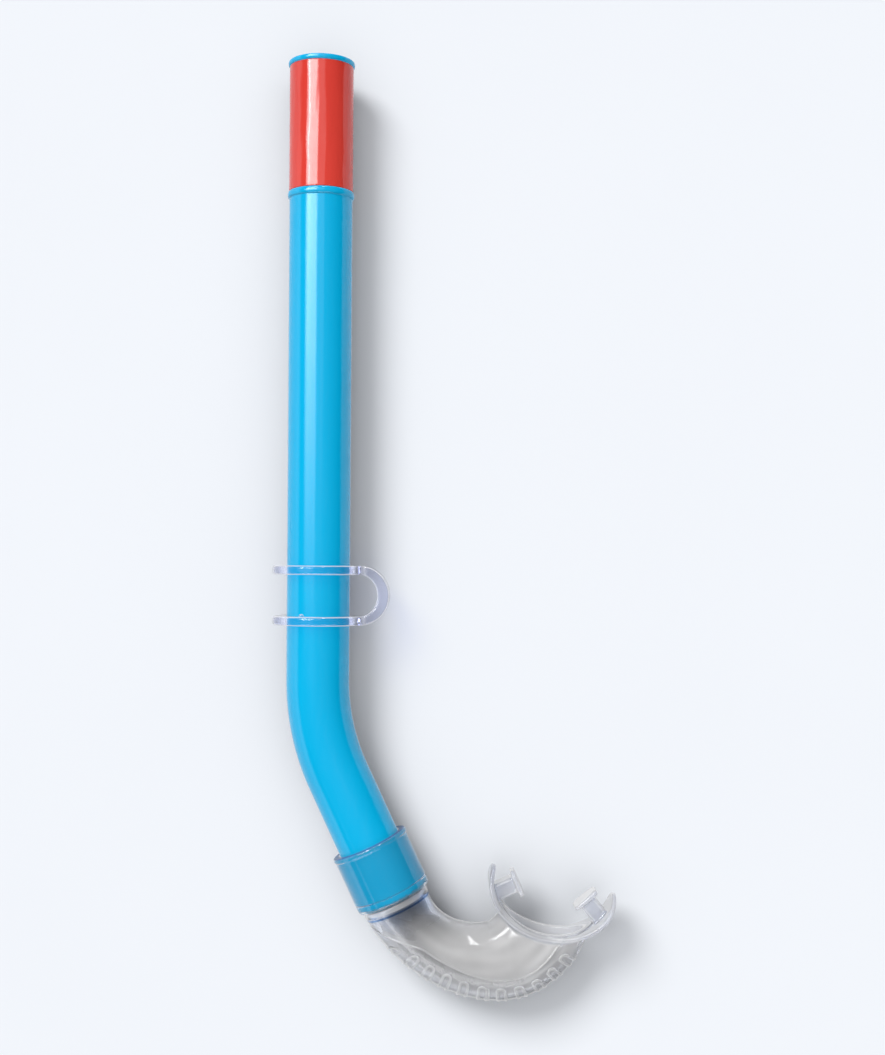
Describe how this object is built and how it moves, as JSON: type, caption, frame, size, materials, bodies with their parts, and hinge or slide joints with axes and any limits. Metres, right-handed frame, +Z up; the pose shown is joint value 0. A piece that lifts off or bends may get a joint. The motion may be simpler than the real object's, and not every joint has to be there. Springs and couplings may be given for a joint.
{
  "type": "snorkel tube",
  "caption": "Junior J-shaped snorkel: open bent barrel with a coloured band, clear mask strap keeper and ribbed clear mouthpiece with bite lugs.",
  "frame": {"origin": "centre of the barrel's open upper end, on the barrel's axis", "axes": "lying flat: +Y along the straight barrel and out of its open end, +X to the mouthpiece side, +Z up, square to the plane of the barrel, elbow and mouth"},
  "size_m": [0.1314, 0.3567, 0.0348],
  "materials": {
    "blue_tube": "glossy moulded plastic",
    "red_film": "glossy film",
    "clear_keeper": "clear soft plastic, faint violet",
    "clear_mouthpiece": "clear soft silicone"
  },
  "bodies": {
    "tube": {"barrel": "blue_tube", "visibility_band": "red_film"},
    "keeper": {"strap_keeper": "clear_keeper"},
    "mouth_unit": {"mouthpiece": "clear_mouthpiece"}
  },
  "joints": [
    {"name": "keeper_slide", "type": "slide", "parent": "tube", "child": "keeper", "axis": [0, 1, 0], "range_m": [-0.021, 0.139]},
    {"name": "mouthpiece_swivel", "type": "hinge", "parent": "tube", "child": "mouth_unit", "pos_m": [0.0294, -0.31711, 0], "axis": [0.4226, -0.9063, 0], "continuous": true}
  ]
}
